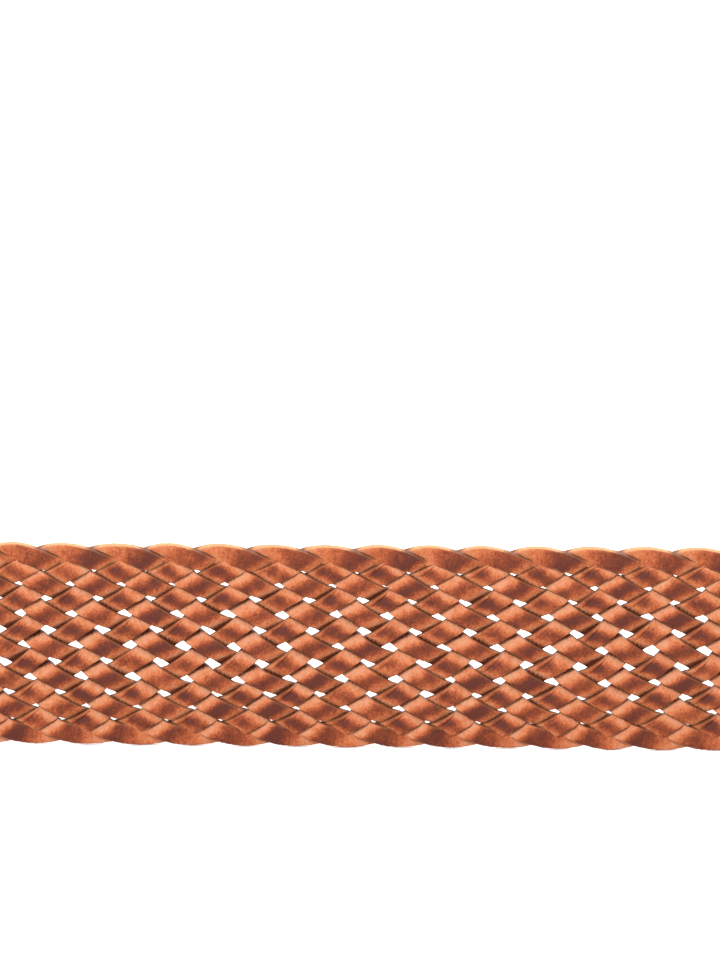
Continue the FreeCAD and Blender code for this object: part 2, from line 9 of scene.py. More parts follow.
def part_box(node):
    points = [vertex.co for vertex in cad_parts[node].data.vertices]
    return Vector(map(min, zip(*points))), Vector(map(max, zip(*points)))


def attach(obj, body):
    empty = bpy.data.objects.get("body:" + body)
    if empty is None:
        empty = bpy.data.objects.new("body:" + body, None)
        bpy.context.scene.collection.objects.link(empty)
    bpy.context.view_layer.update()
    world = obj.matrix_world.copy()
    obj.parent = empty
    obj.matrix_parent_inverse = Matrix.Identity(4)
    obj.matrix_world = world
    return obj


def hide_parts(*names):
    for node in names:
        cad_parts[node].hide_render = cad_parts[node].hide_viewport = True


# Braided leather belt, standing on its lower edge in a horseshoe. Lengths in the
# functions below are millimetres along the strap; MM turns them into metres.
MM = 0.001
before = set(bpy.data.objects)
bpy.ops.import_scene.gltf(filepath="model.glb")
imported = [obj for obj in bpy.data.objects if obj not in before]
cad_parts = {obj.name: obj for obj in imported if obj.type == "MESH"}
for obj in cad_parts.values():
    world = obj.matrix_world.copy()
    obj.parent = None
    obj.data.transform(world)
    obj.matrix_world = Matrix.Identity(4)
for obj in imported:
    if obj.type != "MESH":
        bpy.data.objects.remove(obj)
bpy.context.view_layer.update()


def low_mm(node):
    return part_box(node)[0] / MM


def high_mm(node):
    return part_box(node)[1] / MM


def middle_mm(node):
    return (low_mm(node) + high_mm(node)) / 2.0


# The strap's run, from the buckle bar round to the tip. As far as LIFT_LEVEL from the bar it
# stands BUCKLE_LIFT above the table; from there it comes down.
LEG_X = low_mm("tip_grain_layer").x
FRONT_RUN = 220.0
CORNER_RADIUS = LEG_X - FRONT_RUN / 2.0
BUCKLE_LEG = middle_mm("buckle_bar").y - CORNER_RADIUS
TIP_LEG = high_mm("tip_grain_layer").y - CORNER_RADIUS
QUARTER = math.pi * CORNER_RADIUS / 2.0
BUCKLE_LIFT = low_mm("chape").z
LIFT_LEVEL = 80.0
STRAP_WIDTH = 40.0
TOTAL = BUCKLE_LEG + TIP_LEG + FRONT_RUN + 2.0 * QUARTER

# The braid: its crossings stand a STEP apart along the strap and a ROW apart across it.
STRANDS = 14
REPEAT = 10.2
STEP = REPEAT / 2.0
ROW = STRAP_WIDTH / STRANDS
EDGE_CLOSING = 0.15
BRAID_SKEW = 0.12
BRAID_START = 22.0
BRAID_END = TOTAL - 36.0

# One strand. It rises by WEAVE_HEIGHT over its neighbours, is pressed thinner at every
# crossing, and turns back at the strap's edges within a few steps.
STRAND_WIDTH = 3.85
STRAND_THICKNESS = 1.4
WEAVE_HEIGHT = 0.66
PRESSED = 0.12
SET_BACK = 0.12
CROWN_FLATNESS = 2.3
CROWN_ARCH = 0.13
LIP_RISE = 0.24
CREASE_VALLEY = 0.36
EDGE_LAG = 0.105
EDGE_WOBBLE = 0.08
TURN_STEPS = STRAND_WIDTH / ROW / (1.0 - EDGE_CLOSING)
TOP_TURN_STEPS = 1.25
RINGS_PER_STEP = 12
MIDDLE = BUCKLE_LEG + QUARTER + FRONT_RUN / 2.0
PHASE = math.fmod(MIDDLE - BRAID_SKEW * STRAP_WIDTH / 2.0, REPEAT)

# Strand section: share of half width, share of half thickness, how raw the cut is, and how
# much painted shade the point gets in the crevice under the strand's edge. The point at CREASE
# moves with the crease of a cupped strand.
CREASE = 0.48
SECTION = [
    (-0.95, 0.90, 0.15, 0.0), (-0.80, 1.0, 0.0, 0.0), (-0.45, 1.0, 0.0, 0.0),
    (-0.10, 1.0, 0.0, 0.0), (0.20, 1.0, 0.0, 0.0), (0.38, 1.0, 0.0, 0.0),
    (CREASE, 1.0, 0.0, 0.0), (0.60, 1.0, 0.0, 0.0), (0.80, 1.0, 0.0, 0.0),
    (0.91, 0.92, 0.2, 0.0), (0.97, 0.70, 1.0, 0.45), (1.02, -0.35, 1.0, 0.9),
    (0.90, -0.98, 0.6, 0.5), (0.0, -1.0, 1.0, 0.0), (-0.90, -0.98, 0.6, 0.5),
    (-1.02, -0.35, 1.0, 0.8), (-1.0, 0.62, 1.0, 0.35),
]


def smooth(t):
    t = min(max(t, 0.0), 1.0)
    return t * t * (3.0 - 2.0 * t)


def lift_at(s):
    """The strap rises towards the buckle, whose frame is taller than the strap."""
    return BUCKLE_LIFT * smooth((BUCKLE_LEG - s) / (BUCKLE_LEG - LIFT_LEVEL))


def strap_point(s, height, out):
    """Place of a point at path length s, height above the lower edge, out to the grain side."""
    z = height + lift_at(s)
    s = s - BUCKLE_LEG
    if s < 0.0:
        return Vector((-(LEG_X + out), CORNER_RADIUS - s, z)) * MM
    if s < QUARTER:
        turn = s / CORNER_RADIUS
        reach = CORNER_RADIUS + out
        x = -FRONT_RUN / 2.0 - reach * math.cos(turn)
        return Vector((x, CORNER_RADIUS - reach * math.sin(turn), z)) * MM
    s = s - QUARTER
    if s < FRONT_RUN:
        return Vector((s - FRONT_RUN / 2.0, -out, z)) * MM
    s = s - FRONT_RUN
    if s < QUARTER:
        turn = s / CORNER_RADIUS
        reach = CORNER_RADIUS + out
        x = FRONT_RUN / 2.0 + reach * math.sin(turn)
        return Vector((x, CORNER_RADIUS - reach * math.cos(turn), z)) * MM
    s = s - QUARTER
    return Vector((LEG_X + out, CORNER_RADIUS + s, z)) * MM


# ------------------------------------------------------------------- strands

def row_height(row):
    """Height of a row of crossings; rows close up a little towards the strap's edges."""
    x = 1.0 - 2.0 * row / STRANDS
    return STRAP_WIDTH / 2.0 * (1.0 + x + EDGE_CLOSING * math.sin(math.pi * x) / math.pi)


def centre_line(v, number):
    """Where the middle of a strand runs: path length and height at step v."""
    cycle = v % (2.0 * STRANDS)
    row = cycle if cycle <= STRANDS else 2.0 * STRANDS - cycle
    from_turn = min(row, STRANDS - row)
    turn = TURN_STEPS if row > STRANDS / 2.0 else TOP_TURN_STEPS
    if from_turn < turn:
        rounded = turn / 2.0 + from_turn * from_turn / (2.0 * turn)
        row = rounded if row < STRANDS / 2.0 else STRANDS - rounded
    s = (v + 2.0 * number) * STEP + PHASE
    height = row_height(row)
    drift = noise.noise(Vector((s * 0.045, height * 0.07, 3.1)))
    sway = noise.noise(Vector((s * 0.04, height * 0.06, 8.7)))
    wander = noise.noise(Vector((v * 0.55, number * 7.3, 1.9)))
    calm = math.sin(math.pi * height / STRAP_WIDTH)
    s = s + BRAID_SKEW * (STRAP_WIDTH / 2.0 - height) + 0.9 * drift
    return s, height + (0.5 * sway + 0.55 * wander) * calm


def weave(v):
    """Share of the weave height, +1 where the strand is over and -1 where it is under."""
    cycle = v % (2.0 * STRANDS)
    last = STRANDS - 1.0
    if cycle < 1.0:
        return math.sin(math.pi * cycle / 2.0)
    if cycle <= last:
        wave = -math.cos(math.pi * cycle)
    elif cycle < STRANDS + 1.0:
        return math.cos(math.pi * (cycle - last) / 2.0)
    elif cycle <= 2.0 * STRANDS - 1.0:
        wave = math.cos(math.pi * cycle)
    else:
        return -math.cos(math.pi * (cycle - 2.0 * STRANDS + 1.0) / 2.0)
    return math.tanh(CROWN_FLATNESS * wave) / math.tanh(CROWN_FLATNESS)


def climbing(v):
    """0 where the strand runs down the strap, 1 where it climbs, easing over the turns."""
    cycle = v % (2.0 * STRANDS)
    if cycle < 1.0:
        return 0.5 * (1.0 - cycle)
    if cycle <= STRANDS - 1.0:
        return 0.0
    if cycle < STRANDS + 1.0:
        return 0.5 * (cycle - STRANDS + 1.0)
    if cycle <= 2.0 * STRANDS - 1.0:
        return 1.0
    return 0.5 + 0.5 * (2.0 * STRANDS - cycle)


class Unevenness:
    """Small hand-made differences from one crossing to the next, eased between them."""

    def __init__(self, number, topic):
        chance = random.Random(1000 * number + topic)
        self.values = [chance.uniform(-1.0, 1.0) for _ in range(260)]

    def at(self, v):
        place = v + 40.0
        first = int(math.floor(place))
        share = smooth(place - first)
        return self.values[first] * (1.0 - share) + self.values[first + 1] * share


def crease_place(away, cup):
    """Where the crease of a cupped strand runs: it starts well inside and runs out to the
    upper edge towards the end of the crown."""
    return CREASE - 0.10 + (1.0 - CREASE) * max(smooth((away + 0.40) / 0.80), 1.0 - 1.8 * cup)


def moved_by_crease(q, place):
    """Share of half width after the crease has moved to its place."""
    if q <= 0.0:
        return q
    if q <= CREASE:
        return q * place / CREASE
    return place + (q - CREASE) * (1.0 - place) / (1.0 - CREASE)


def from_crown(v):
    """Steps from the middle of the crown that a point belongs to. A crown shows for about
    0.6 of a step each way; one beside a turn is drawn out to the strap's edge and round it."""
    cycle = v % (2.0 * STRANDS)
    last_down = STRANDS - 1.0
    last_up = 2.0 * STRANDS - 1.0
    if last_down < cycle < last_down + 2.0:
        return 0.29 * (cycle - last_down)
    if cycle > last_up or cycle < 1.0:
        return -0.29 * ((1.0 - cycle) % (2.0 * STRANDS))
    if cycle <= STRANDS:
        return cycle - 2.0 * round((cycle - 1.0) / 2.0) - 1.0
    return cycle - 2.0 * round(cycle / 2.0)


# Steps of one full cycle at which a strand crosses over another.
CROWNS = (list(range(1, STRANDS, 2)) + list(range(STRANDS + 2, 2 * STRANDS, 2))
          + [2 * STRANDS + 1])


def painted_shade_behind(v):
    """Painted shade: 1 where the strand's flesh side is hidden by the strand that it crosses over.
    """
    cycle = v % (2.0 * STRANDS)
    nearest = min(abs(cycle - crown) for crown in CROWNS)
    return smooth((0.45 - nearest) / 0.07)


def burnish(away, q, climb, cup, height):
    """How darkly the grain is rubbed: most in the middle of each crown, and under the crease
    of a cupped strand. Towards the strap's lower edge it is kept lighter as painted bounce light
    from the floor."""
    late = away - 0.07 * (1.0 - climb) + 0.06 * climb
    rubbed = 0.5 + 0.5 * math.cos(math.pi * min(abs(late) / 0.60, 1.0))
    under_crease = 0.50 * cup * math.exp(-((q - 0.22) / 0.30) ** 2)
    inner = 0.85 + under_crease - 0.15 * smooth((q - 0.45) / 0.2)
    # Painted light: the burnish is kept lighter towards the lower edge, standing in for light
    # bounced up from the floor.
    painted_floor_bounce = 1.0 - 0.6 * smooth((2.6 - height) / 2.2)
    return rubbed * painted_floor_bounce * (1.0 - climb + inner * climb)


def strand_ring(v, number, uneven):
    """The corner places of one cross-section, in strap terms, with their finish values and painted
    shade.
    """
    s, height = centre_line(v, number)
    s_next, height_next = centre_line(v + 0.05, number)
    length = math.hypot(s_next - s, height_next - height)
    normal = ((height - height_next) / length, (s_next - s) / length)
    climb = climbing(v)
    wide = 1.0 + 0.05 * uneven["width"].at(v) + 0.06 * smooth((height - 27.0) / 8.0)
    half_width = STRAND_WIDTH / 2.0 * wide
    lag = EDGE_LAG * (2.0 * climb - 1.0)
    tilt = 0.08 * uneven["tilt"].at(v) - 0.05 * climb
    cup = climb * (0.55 + 0.45 * uneven["cup"].at(v))
    slant = 0.02 + 0.06 * cup + 0.08 * smooth((height - 34.5) / 2.5)
    over = weave(v)
    thickness = STRAND_THICKNESS * (1.0 - PRESSED * over * over)
    crown = 0.10 * uneven["height"].at(v) * max(over, 0.0)
    place = crease_place(from_crown(v), cup)
    on_rim = smooth((height - 37.7) / 0.5)
    points = []
    for nominal, depth, raw, painted_shade in SECTION:
        q = nominal
        if depth > 0.5:
            q = q * (1.0 - climb) + moved_by_crease(q, place) * climb
        if q > 0.3 and depth > -0.5:
            q = q - slant * (q - 0.3) / 0.7 * (0.6 + 0.4 * depth) * 1.6
        across = q * half_width
        away = from_crown(v + lag * across)
        over = weave(v + lag * across)
        arch = CROWN_ARCH * (1.0 - q * q) * (1.0 if depth > 0.0 else 0.2)
        out = (WEAVE_HEIGHT * over + crown + depth * thickness / 2.0 + tilt * across
               - SET_BACK + arch)
        crease = 0.0
        if depth > 0.5 and over > 0.0:
            flap = smooth((nominal - CREASE) / 0.3)
            valley = max(1.0 - abs(nominal - CREASE) / 0.26, 0.0)
            out = out + cup * over * (LIP_RISE * flap - CREASE_VALLEY * valley)
            # Painted shade: a dark line along the crease of a cupped strand, fading out towards
            # the end of the crown.
            crease = min(1.3 * cup, 1.0) * smooth(over / 0.5) * (1.0 if nominal == CREASE else 0.0)
            crease = crease * (1.0 - smooth((away - 0.05) / 0.3))
        if abs(q) > 0.7:
            across = across + EDGE_WOBBLE * noise.noise(Vector((s * 2.3, number * 3.7, depth)))
        # Painted shade: dark in the crevice under the strand's edge (not on the rim), a thin
        # painted shadow line where the strand dives under the next, and the dark crease line.
        deep = max(painted_shade * (1.0 - on_rim), smooth((abs(away) - 0.545) / 0.07), 0.85 * crease)
        cut = raw * (0.30 + 0.70 * on_rim)
        if depth > 0.5 and nominal > 0.85:
            cut = max(cut, 0.25 * on_rim)
        if depth < -0.9:
            cut = raw
            # Painted shade on the flesh side: in its corners, and where the strand that it crosses
            # over hides it.
            deep = max(0.5 * painted_shade, painted_shade_behind(v + lag * across))
        points.append((s + normal[0] * across, height + normal[1] * across, out,
                       cut, deep, burnish(away, q, climb, cup, height)))
    return points


def strand_piece(number, material):
    """One leather strand, from the chape to the tip, swept as a closed band round its section."""
    first = math.ceil((BRAID_START - PHASE) / STEP) - 2 * number
    last = math.floor((BRAID_END - PHASE) / STEP) - 2 * number
    rings = (last - first) * RINGS_PER_STEP
    columns = len(SECTION)
    uneven = {}
    for topic, name in enumerate(("width", "tilt", "cup", "height", "burnish")):
        uneven[name] = Unevenness(number, topic)
    mesh = bmesh.new()
    uv_layer = mesh.loops.layers.uv.new("strand")
    burnish_layer = mesh.verts.layers.float.new("burnish")
    raw_layer = mesh.verts.layers.float.new("raw")
    painted_shade_layer = mesh.verts.layers.float.new("painted_shade")
    shade_layer = mesh.verts.layers.float.new("shade")
    bmesh.ops.create_grid(mesh, x_segments=rings, y_segments=columns, size=1.0)
    grid = {}
    for vert in mesh.verts:
        i = round((vert.co.x + 1.0) / 2.0 * rings)
        j = round((vert.co.y + 1.0) / 2.0 * columns)
        grid.setdefault(i, []).append((vert, j))
    for face in mesh.faces:
        face.smooth = True
        for loop in face.loops:
            along = (loop.vert.co.x + 1.0) / 2.0 * (last - first) * STEP
            loop[uv_layer].uv = (along, (loop.vert.co.y + 1.0) / 2.0)
    for i, verts in grid.items():
        v = first + i / RINGS_PER_STEP
        points = strand_ring(v, number, uneven)
        shade = uneven["burnish"].at(v)
        for vert, j in verts:
            s, height, out, raw, painted_shade, rubbed = points[j % columns]
            vert.co = strap_point(s, height, out)
            vert[burnish_layer] = rubbed
            vert[raw_layer] = raw
            vert[painted_shade_layer] = painted_shade
            vert[shade_layer] = shade
    bmesh.ops.remove_doubles(mesh, verts=mesh.verts, dist=1e-7)
    rims = [edge for edge in mesh.edges if edge.is_boundary]
    bmesh.ops.holes_fill(mesh, edges=rims, sides=columns + 1)
    bmesh.ops.recalc_face_normals(mesh, faces=mesh.faces)
    name = "strand_%02d" % (number + 1)
    piece = finished_piece("leather_" + name, mesh, material)
    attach(piece, "strap")
    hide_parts(name)
    return piece


def finished_piece(name, mesh, material):
    """Turn a finished mesh into an object of the scene."""
    data = bpy.data.meshes.new(name)
    mesh.to_mesh(data)
    mesh.free()
    data.materials.append(material)
    piece = bpy.data.objects.new(name, data)
    bpy.context.scene.collection.objects.link(piece)
    return piece


# ------------------------------------------------------------- cut and sewn leather
# A tab is cut flat, in millimetres along and across the strip. Rings parallel to its edge
# carry a pressed crease line and the channel that the stitches lie in. It is then bent to
# its place, and thickened towards its flesh side. The stain at the rim fades out over
# RIM_STAIN.

PRESSED_IN = 0.16
RIM_STAIN = 1.1
EDGE_ROUNDING = 0.32
LEATHER_RIPPLE = 0.05
BEND_SLICE = 0.55
FLAT_SLICE = 2.5
ALONG = (1.0, 0.0, 0.0)
ACROSS = (0.0, 1.0, 0.0)

# Distance from the ring before, and how far the ring is pressed in.
RIM_RINGS = [
    (0.40, 0.0), (0.45, 0.0), (0.22, PRESSED_IN), (0.22, 0.0), (0.90, 0.0),
    (0.40, PRESSED_IN), (0.40, 0.0), (1.50, 0.0),
]


def cut_panel(mesh, corners, rounding):
    """One flat face with some of its corners rounded; rounding pairs a corner with a radius."""
    verts = [mesh.verts.new((along, across, 0.0)) for along, across in corners]
    mesh.faces.new(verts)
    for number, radius in rounding:
        bmesh.ops.bevel(mesh, geom=[verts[number]], offset=radius, offset_type="OFFSET",
                        segments=10, profile=0.5, affect="VERTICES", material=-1)
    bmesh.ops.remove_doubles(mesh, verts=mesh.verts, dist=1e-4)


def press_rim(mesh):
    """Rings round every edge of the panel, with the crease line and the stitch channel."""
    sink = mesh.verts.layers.float.new("sink")
    rim = mesh.verts.layers.float.new("rim")
    for vert in mesh.verts:
        vert[rim] = 1.0
    inner = list(mesh.faces)
    inset = 0.0
    for gap, depth in RIM_RINGS:
        bmesh.ops.inset_region(mesh, faces=inner, thickness=gap, use_even_offset=True,
                               use_boundary=True)
        inset = inset + gap
        for vert in {vert for face in inner for vert in face.verts}:
            vert[sink] = depth
            vert[rim] = math.exp(-inset / RIM_STAIN)


def slice_panel(mesh, stations, direction):
    """Cut lines across the panel, so that it can bend there."""
    for place in stations:
        parts = mesh.verts[:] + mesh.edges[:] + mesh.faces[:]
        bmesh.ops.bisect_plane(mesh, geom=parts, dist=1e-4, plane_no=direction,
                               plane_co=Vector(direction) * place)


def spaced(first, last, step):
    """Places between first and last, about one step apart, without the ends."""
    count = max(round((last - first) / step), 1)
    return [first + (last - first) * i / count for i in range(1, count)]


def bend_panel(mesh, place):
    """Bring a flat panel to its place. place gives the spot and the outward direction."""
    bmesh.ops.remove_doubles(mesh, verts=mesh.verts, dist=0.05)
    sink = mesh.verts.layers.float["sink"]
    for vert in mesh.verts:
        spot, outward = place(vert.co.x, vert.co.y)
        ripple = LEATHER_RIPPLE * noise.noise(Vector((vert.co.x * 0.22, vert.co.y * 0.22, 5.0)))
        vert.co = (spot + outward * (ripple - vert[sink])) * MM
    for face in mesh.faces:
        face.smooth = True


def leather_piece(name, mesh, materials, thickness):
    """Give a bent panel its thickness and its softened, painted edges."""
    piece = finished_piece(name, mesh, materials[0])
    for material in materials[1:]:
        piece.data.materials.append(material)
    body = piece.modifiers.new("thickness", "SOLIDIFY")
    body.thickness = thickness * MM
    body.offset = -1.0
    body.material_offset = 1
    body.material_offset_rim = 2
    edges = piece.modifiers.new("soft_edges", "BEVEL")
    edges.width = EDGE_ROUNDING * MM
    edges.segments = 3
    edges.limit_method = "ANGLE"
    edges.angle_limit = math.radians(60.0)
    edges.harden_normals = True
    return piece


def face_outwards(mesh, middle):
    """Turn every face of an open sheet away from a line through middle."""
    mesh.normal_update()
    total = sum((face.calc_center_median() - middle).dot(face.normal) * face.calc_area()
                for face in mesh.faces)
    if total < 0.0:
        bmesh.ops.reverse_faces(mesh, faces=mesh.faces)


# FOLD_RADIUS is that of the grain side, round the buckle bar.
CHAPE_THICKNESS = 1.4
FOLD_RADIUS = (high_mm("chape").x - low_mm("chape").x) / 2.0
CHAPE_LENGTH = middle_mm("buckle_bar").y - low_mm("chape").y
SLOT_HALF = 3.1
SLOT_REACH = 13.0


def chape_piece(materials):
    """The tab folded round the buckle bar, with a round-ended slot for the prong."""
    half_fold = FOLD_RADIUS * math.pi / 2.0
    end = CHAPE_LENGTH + half_fold
    slot_end = SLOT_REACH + half_fold
    half = STRAP_WIDTH / 2.0
    bar = middle_mm("buckle_bar")
    mesh = bmesh.new()
    corners = [(-end, 0.0), (-slot_end, 0.0), (-slot_end, SLOT_HALF), (slot_end, SLOT_HALF),
               (slot_end, 0.0), (end, 0.0), (end, half), (-end, half)]
    cut_panel(mesh, corners, [(2, SLOT_HALF), (3, SLOT_HALF)])
    bmesh.ops.mirror(mesh, geom=mesh.verts[:] + mesh.edges[:] + mesh.faces[:], axis="Y",
                     merge_dist=1e-4)
    bmesh.ops.recalc_face_normals(mesh, faces=mesh.faces)
    press_rim(mesh)
    bend_end = half_fold + 1.5
    slice_panel(mesh, spaced(-bend_end, bend_end, BEND_SLICE), ALONG)
    slice_panel(mesh, spaced(-end, -bend_end, FLAT_SLICE), ALONG)
    slice_panel(mesh, spaced(bend_end, end, FLAT_SLICE), ALONG)
    slice_panel(mesh, spaced(-half, half, FLAT_SLICE), ACROSS)

    def place(along, across):
        side = math.copysign(1.0, along)
        turn = min(abs(along) / FOLD_RADIUS, math.pi / 2.0)
        back = max(abs(along) - half_fold, 0.0)
        outward = Vector((-side * math.sin(turn), math.cos(turn), 0.0))
        return bar + outward * FOLD_RADIUS + Vector((0.0, -back, across)), outward

    bend_panel(mesh, place)
    face_outwards(mesh, (bar - Vector((0.0, CHAPE_LENGTH / 2.0, 0.0))) * MM)
    piece = leather_piece("leather_chape", mesh, materials, CHAPE_THICKNESS)
    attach(piece, "strap")
    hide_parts("chape")


# The layers start to close up TIP_STEP_START before the end, over TIP_TAPER.
TIP_THICKNESS = 1.3
TIP_STEP_START = 33.0
TIP_TAPER = 8.0
TIP_CORNER = 15.0
TIP_SLICE = 1.6


def tip_piece(node, side, materials):
    """One layer of the rounded tip: it lies on the braid, then closes onto the other layer."""
    low = low_mm(node)
    high = high_mm(node)
    length = high.y - low.y
    on_braid = max(high.x - LEG_X, LEG_X - low.x)
    mesh = bmesh.new()
    corners = [(-length, 0.0), (0.0, 0.0), (0.0, STRAP_WIDTH), (-length, STRAP_WIDTH)]
    cut_panel(mesh, corners, [(1, TIP_CORNER), (2, TIP_CORNER)])
    press_rim(mesh)
    slice_panel(mesh, spaced(-length, 0.0, TIP_SLICE), ALONG)
    slice_panel(mesh, spaced(0.0, STRAP_WIDTH, FLAT_SLICE), ACROSS)

    def place(along, across):
        closing = smooth((along + TIP_STEP_START) / TIP_TAPER)
        out = on_braid + (TIP_THICKNESS - on_braid) * closing
        return Vector((LEG_X + side * out, high.y + along, across)), Vector((side, 0.0, 0.0))

    bend_panel(mesh, place)
    face_outwards(mesh, Vector((LEG_X, (low.y + high.y) / 2.0, STRAP_WIDTH / 2.0)) * MM)
    piece = leather_piece("leather_" + node, mesh, materials, TIP_THICKNESS)
    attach(piece, "strap")
    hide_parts(node)


KEEPER_WALL = 1.6
KEEPER_CORNER = 2.4
KEEPER_SEAM = 0.09
KEEPER_CREASE = 1.1


def keeper_piece(materials):
    """The keeper: a strip bent into a loop, its ends butted on the flesh side."""
    low = low_mm("keeper")
    high = high_mm("keeper")
    middle = (low + high) / 2.0
    half = (high - low) / 2.0
    deep = half.x - KEEPER_CORNER
    tall = half.z - KEEPER_CORNER
    arc = KEEPER_CORNER * math.pi / 2.0
    sides = [tall, 2.0 * deep, 2.0 * tall, 2.0 * deep, tall]
    around = sum(sides) + 4.0 * arc
    mesh = bmesh.new()
    corners = [(KEEPER_SEAM, -half.y), (around - KEEPER_SEAM, -half.y),
               (around - KEEPER_SEAM, half.y), (KEEPER_SEAM, half.y)]
    cut_panel(mesh, corners, [])
    sink = mesh.verts.layers.float.new("sink")
    rim = mesh.verts.layers.float.new("rim")
    crease = half.y - KEEPER_CREASE
    lines = [half.y - 0.4, crease + 0.22, crease, crease - 0.22, 3.0, 1.0]
    slice_panel(mesh, lines + [-line for line in lines], ACROSS)
    slice_panel(mesh, spaced(0.0, around, BEND_SLICE), ALONG)
    for vert in mesh.verts:
        from_crease = abs(abs(vert.co.y) - crease)
        vert[sink] = PRESSED_IN if from_crease < 0.01 else 0.0
        vert[rim] = math.exp(-(half.y - abs(vert.co.y)) / RIM_STAIN)

    def place(along, across):
        heading = Vector((0.0, 0.0, 1.0))
        outward = Vector((1.0, 0.0, 0.0))
        spot = Vector((high.x, 0.0, middle.z))
        for number, side_length in enumerate(sides):
            run = min(along, side_length)
            spot = spot + heading * run
            along = along - run
            if along <= 0.0 or number == len(sides) - 1:
                break
            turn = min(along, arc) / KEEPER_CORNER
            centre = spot - outward * KEEPER_CORNER
            bent = outward * math.cos(turn) + heading * math.sin(turn)
            spot = centre + bent * KEEPER_CORNER
            heading = heading * math.cos(turn) - outward * math.sin(turn)
            outward = bent
            along = along - arc
            if along <= 0.0:
                break
        return Vector((spot.x, middle.y + across, spot.z)), outward

    bend_panel(mesh, place)
    face_outwards(mesh, middle * MM)
    piece = leather_piece("leather_keeper", mesh, materials, KEEPER_WALL)
    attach(piece, "keeper")
    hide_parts("keeper")


# ------------------------------------------------------------------- thread

THREAD_RADIUS = 0.30
THREAD_SUNK = 0.20
THREAD_SLANT = math.radians(7.0)
STITCH_PITCH = 3.6
STITCH_INSET = 2.6


def islands(mesh):
    """The separate solids of a mesh, each as the places of its corners."""
    left = set(mesh.verts)
    while left:
        front = [left.pop()]
        island = []
        while front:
            vert = front.pop()
            island.append(vert.co.copy())
            for edge in vert.link_edges:
                other = edge.other_vert(vert)
                if other in left:
                    left.remove(other)
                    front.append(other)
        yield island


def thread_ends(corners):
    """Both ends of one straight length of thread."""
    middle = sum(corners, Vector()) / len(corners)
    far = max(corners, key=lambda corner: (corner - middle).length) - middle
    ends = []
    for side in (-1.0, 1.0):
        group = [corner for corner in corners if side * (corner - middle).dot(far) > 0.0]
        ends.append(sum(group, Vector()) / len(group))
    return ends


def stitch_shape(length):
    """One stitch along Z: a six-sided thread that dives into the leather at both ends."""
    mesh = bmesh.new()
    radius = THREAD_RADIUS * MM
    bmesh.ops.create_cone(mesh, cap_ends=True, segments=6, radius1=radius, radius2=radius,
                          depth=length)
    for cut in range(-4, 5):
        parts = mesh.verts[:] + mesh.edges[:] + mesh.faces[:]
        bmesh.ops.bisect_plane(mesh, geom=parts, dist=1e-7, plane_no=(0.0, 0.0, 1.0),
                               plane_co=(0.0, 0.0, length * cut / 10.0))
    for vert in mesh.verts:
        share = abs(2.0 * vert.co.z / length)
        narrow = 1.0 - 0.3 * share ** 6
        dive = (0.62 * share ** 5 + THREAD_SUNK) * MM
        vert.co.x = vert.co.x * narrow
        vert.co.y = vert.co.y * narrow * 0.85 - dive
    shape = bpy.data.meshes.new("stitch_shape")
    mesh.to_mesh(shape)
    mesh.free()
    return shape


def add_stitch(mesh, shape, start, end, outward):
    """Set one stitch down between two places."""
    along = Matrix.Rotation(THREAD_SLANT, 3, outward) @ (end - start).normalized()
    across = outward.cross(along)
    turned = Matrix((across, outward, along)).transposed().to_4x4()
    moved = Matrix.Translation((start + end) / 2.0) @ turned
    before = len(mesh.verts)
    mesh.from_mesh(shape)
    bmesh.ops.transform(mesh, matrix=moved, verts=mesh.verts[before:])


def stitches_over_step(runs):
    """The stitches that carry both long rows on, over the place where the layers close up."""
    step = high_mm("tip_grain_layer").y - TIP_STEP_START + 1.0
    added = []
    for side in (-1.0, 1.0):
        for height in (STITCH_INSET, STRAP_WIDTH - STITCH_INSET):
            row = [ends for ends in runs if side * (ends[0].x / MM - LEG_X) > 0.0
                   and max(abs(end.z / MM - height) for end in ends) < 0.1]
            below = max((ends for ends in row if ends[0].y / MM < step),
                        key=lambda ends: ends[0].y)
            above = min((ends for ends in row if ends[0].y / MM > step),
                        key=lambda ends: ends[0].y)
            count = round((above[0].y - below[0].y) / (STITCH_PITCH * MM))
            for number in range(1, count):
                share = number / count
                added.append([below[i].lerp(above[i], share) for i in (0, 1)])
    return added


def stitches_piece(node, body, middle_x, material):
    """Rounded stitches where the CAD node has its straight ones."""
    source = bmesh.new()
    source.from_mesh(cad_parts[node].data)
    bmesh.ops.remove_doubles(source, verts=source.verts, dist=1e-6)
    mesh = bmesh.new()
    runs = sorted((thread_ends(corners) for corners in islands(source)),
                  key=lambda ends: tuple(round(value, 5) for value in ends[0]))
    source.free()
    if node == "tip_stitches":
        runs = runs + stitches_over_step(runs)
    shape = stitch_shape((runs[0][1] - runs[0][0]).length)
    for start, end in runs:
        outward = Vector((math.copysign(1.0, start.x / MM - middle_x), 0.0, 0.0))
        add_stitch(mesh, shape, start, end, outward)
    bpy.data.meshes.remove(shape)
    bmesh.ops.recalc_face_normals(mesh, faces=mesh.faces)
    for face in mesh.faces:
        face.smooth = True
    piece = finished_piece("waxed_" + node, mesh, material)
    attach(piece, body)
    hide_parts(node)


# ----------------------------------------------------------------- materials

def new_material(name):
    """A material with only a shader and its output."""
    material = bpy.data.materials.new(name)
    material.use_nodes = True
    tree = material.node_tree
    tree.nodes.clear()
    output = tree.nodes.new("ShaderNodeOutputMaterial")
    shader = tree.nodes.new("ShaderNodeBsdfPrincipled")
    tree.links.new(shader.outputs["BSDF"], output.inputs["Surface"])
    return material, tree, shader


def add(tree, kind, settings=None, **sockets):
    """Add a node; each socket gets a value, or a link from another node."""
    made = tree.nodes.new(kind)
    for key, value in (settings or {}).items():
        setattr(made, key, value)
    for key, value in sockets.items():
        socket = made.inputs[key.replace("_", " ")]
        if isinstance(value, bpy.types.NodeSocket):
            tree.links.new(value, socket)
        else:
            socket.default_value = value
    return made


